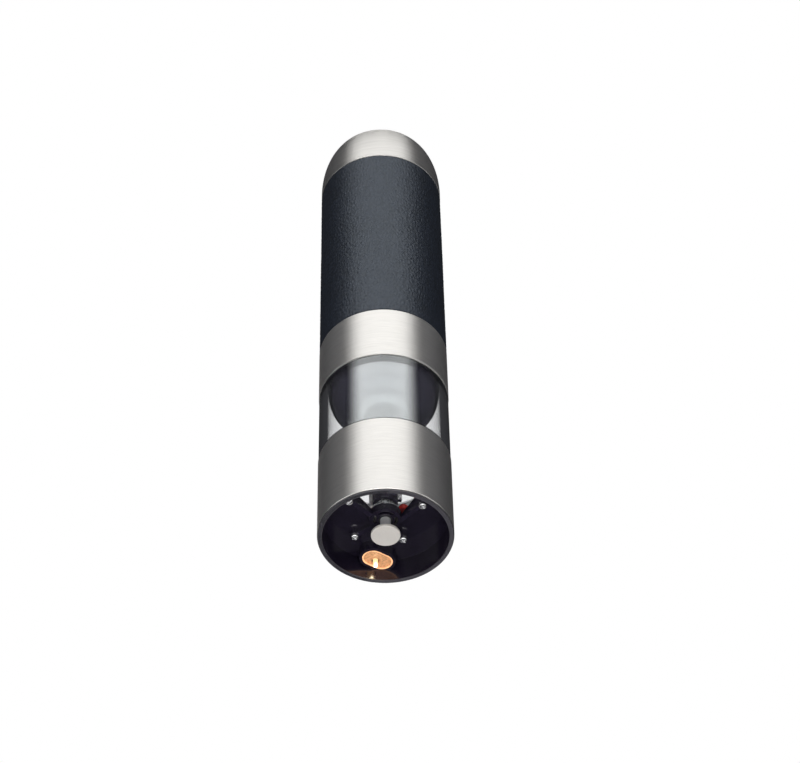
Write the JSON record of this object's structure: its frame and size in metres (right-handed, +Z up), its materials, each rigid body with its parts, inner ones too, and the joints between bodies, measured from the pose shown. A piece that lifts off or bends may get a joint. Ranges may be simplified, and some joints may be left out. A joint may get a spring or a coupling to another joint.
{
  "type": "pepper mill",
  "caption": "Battery pepper mill with brushed steel base, ring and domed cap, a clear pepper window, a black leather grip, a lit lamp beside the grinder and a push button on top.",
  "frame": {"origin": "centre of the base rim that it stands on", "axes": "+Z up along the mill's axis, +Y towards the lamp"},
  "size_m": [0.052, 0.052, 0.2318],
  "materials": {
    "steel": "fine brushed round the body",
    "button_steel": "fine turned face",
    "knob_silver": "satin, finely turned",
    "bright_screw": "bright plated",
    "bright_shaft": "bright drawn steel",
    "zinc_plate": "zinc plated",
    "spring_steel": "drawn spring wire",
    "bronze": "sintered bronze",
    "brass": "bright brass",
    "gloss_black": "glossy moulded",
    "satin_black": "satin moulded",
    "gear_white": "natural moulded nylon",
    "gear_brown": "moulded acetal",
    "clear": "clear acrylic",
    "bulb": "lit lamp glass",
    "reflector": "pale lamp cup",
    "burr_ceramic": "dark ground ceramic",
    "rubber": "moulded rubber",
    "leather": "black pebbled leather",
    "cell_jacket": "plain shrink jacket",
    "board_green": "solder mask",
    "lead_red": "wire insulation"
  },
  "bodies": {
    "base": {"base_sleeve": "steel", "base_cup": "gloss_black", "chamber": "clear", "chamber_floor": "clear", "chamber_seal": "rubber", "grinder_bracket": "satin_black", "bracket_screws": "bright_screw", "burr_ring": "burr_ceramic", "spindle_bush": "bronze", "lamp_reflector": "reflector", "lamp_bulb": "bulb", "lamp_socket": "gloss_black", "lamp_strips": "brass"},
    "spindle": {"drive_shaft": "bright_shaft", "agitator": "satin_black", "burr_spring": "spring_steel"},
    "burr": {"burr_cone": "burr_ceramic"},
    "knob": {"adjuster_knob": "knob_silver"},
    "power_unit": {"ring_band": "steel", "core_housing": "gloss_black", "shaft_bush": "bronze", "gear_case": "gear_white", "motor_plate": "zinc_plate", "motor_can": "zinc_plate", "motor_end_cap": "satin_black", "motor_terminals": "brass", "core_screws": "bright_screw", "battery_tray": "satin_black", "battery_cells": "cell_jacket", "battery_springs": "spring_steel", "battery_contacts": "zinc_plate", "switch_board": "board_green", "switch_body": "satin_black", "lamp_contacts": "brass", "core_leads": "lead_red"},
    "output": {"output_carrier": "gear_white"},
    "first_stage": {"first_carrier": "gear_white"},
    "motor_rotor": {"motor_pinion": "gear_brown", "motor_shaft": "bright_shaft"},
    "plunger": {"switch_plunger": "gear_white"},
    "handle": {"handle_tube": "satin_black", "grip_leather": "leather", "dome_cap": "steel", "cap_insert": "satin_black", "button_spring": "spring_steel"},
    "button": {"push_button": "button_steel", "button_clip": "spring_steel"},
    "planet_a1": {"first_planet_1": "gear_brown"},
    "planet_b1": {"second_planet_1": "gear_brown"},
    "planet_a2": {"first_planet_2": "gear_brown"},
    "planet_b2": {"second_planet_2": "gear_brown"},
    "planet_a3": {"first_planet_3": "gear_brown"},
    "planet_b3": {"second_planet_3": "gear_brown"}
  },
  "joints": [
    {"name": "grinder_spin", "type": "hinge", "parent": "base", "child": "spindle", "pos_m": [0, 0, 0.03], "axis": [0, 0, 1], "continuous": true},
    {"name": "adjuster_turn", "type": "hinge", "parent": "spindle", "child": "knob", "pos_m": [0, 0, 0.003], "axis": [0, 0, 1], "range_deg": [0, 270]},
    {"name": "burr_lift", "type": "slide", "parent": "spindle", "child": "burr", "axis": [0, 0, 1], "range_m": [0, 0.0006], "deforming": ["burr_spring"]},
    {"name": "power_lift", "type": "slide", "parent": "base", "child": "power_unit", "axis": [0, 0, 1], "range_m": [0, 0.05]},
    {"name": "handle_lift", "type": "slide", "parent": "power_unit", "child": "handle", "axis": [0, 0, 1], "range_m": [0, 0.115]},
    {"name": "button_press", "type": "slide", "parent": "handle", "child": "button", "axis": [0, 0, -1], "range_m": [0, 0.002], "stiffness_N_per_m": 500, "springref_m": -0.003, "deforming": ["button_spring"]},
    {"name": "plunger_press", "type": "slide", "parent": "power_unit", "child": "plunger", "axis": [0, 0, -1], "range_m": [0, 0.002]},
    {"name": "output_spin", "type": "hinge", "parent": "power_unit", "child": "output", "pos_m": [0, 0, 0.07], "axis": [0, 0, 1], "continuous": true},
    {"name": "first_stage_spin", "type": "hinge", "parent": "power_unit", "child": "first_stage", "pos_m": [0, 0, 0.086], "axis": [0, 0, 1], "continuous": true},
    {"name": "motor_spin", "type": "hinge", "parent": "power_unit", "child": "motor_rotor", "pos_m": [0, 0, 0.1], "axis": [0, 0, 1], "continuous": true},
    {"name": "first_planet_1_spin", "type": "hinge", "parent": "first_stage", "child": "planet_a1", "pos_m": [0.0105, 0, 0.08], "axis": [0, 0, 1], "continuous": true},
    {"name": "second_planet_1_spin", "type": "hinge", "parent": "output", "child": "planet_b1", "pos_m": [0.0105, 0, 0.08], "axis": [0, 0, 1], "continuous": true},
    {"name": "first_planet_2_spin", "type": "hinge", "parent": "first_stage", "child": "planet_a2", "pos_m": [-0.00525, 0.00909, 0.08], "axis": [0, 0, 1], "continuous": true},
    {"name": "second_planet_2_spin", "type": "hinge", "parent": "output", "child": "planet_b2", "pos_m": [-0.00525, 0.00909, 0.08], "axis": [0, 0, 1], "continuous": true},
    {"name": "first_planet_3_spin", "type": "hinge", "parent": "first_stage", "child": "planet_a3", "pos_m": [-0.00525, -0.00909, 0.08], "axis": [0, 0, 1], "continuous": true},
    {"name": "second_planet_3_spin", "type": "hinge", "parent": "output", "child": "planet_b3", "pos_m": [-0.00525, -0.00909, 0.08], "axis": [0, 0, 1], "continuous": true}
  ],
  "couplings": [
    {"joint": "adjuster_turn", "follows": "burr_lift", "rad_per_m": 7854},
    {"joint": "plunger_press", "follows": "button_press", "ratio": 1},
    {"joint": "output_spin", "follows": "grinder_spin", "ratio": 1},
    {"joint": "first_stage_spin", "follows": "grinder_spin", "ratio": 5},
    {"joint": "motor_spin", "follows": "grinder_spin", "ratio": 25},
    {"joint": "first_planet_1_spin", "follows": "grinder_spin", "ratio": -13.333},
    {"joint": "second_planet_1_spin", "follows": "grinder_spin", "ratio": -2.6667},
    {"joint": "first_planet_2_spin", "follows": "grinder_spin", "ratio": -13.333},
    {"joint": "second_planet_2_spin", "follows": "grinder_spin", "ratio": -2.6667},
    {"joint": "first_planet_3_spin", "follows": "grinder_spin", "ratio": -13.333},
    {"joint": "second_planet_3_spin", "follows": "grinder_spin", "ratio": -2.6667}
  ]
}
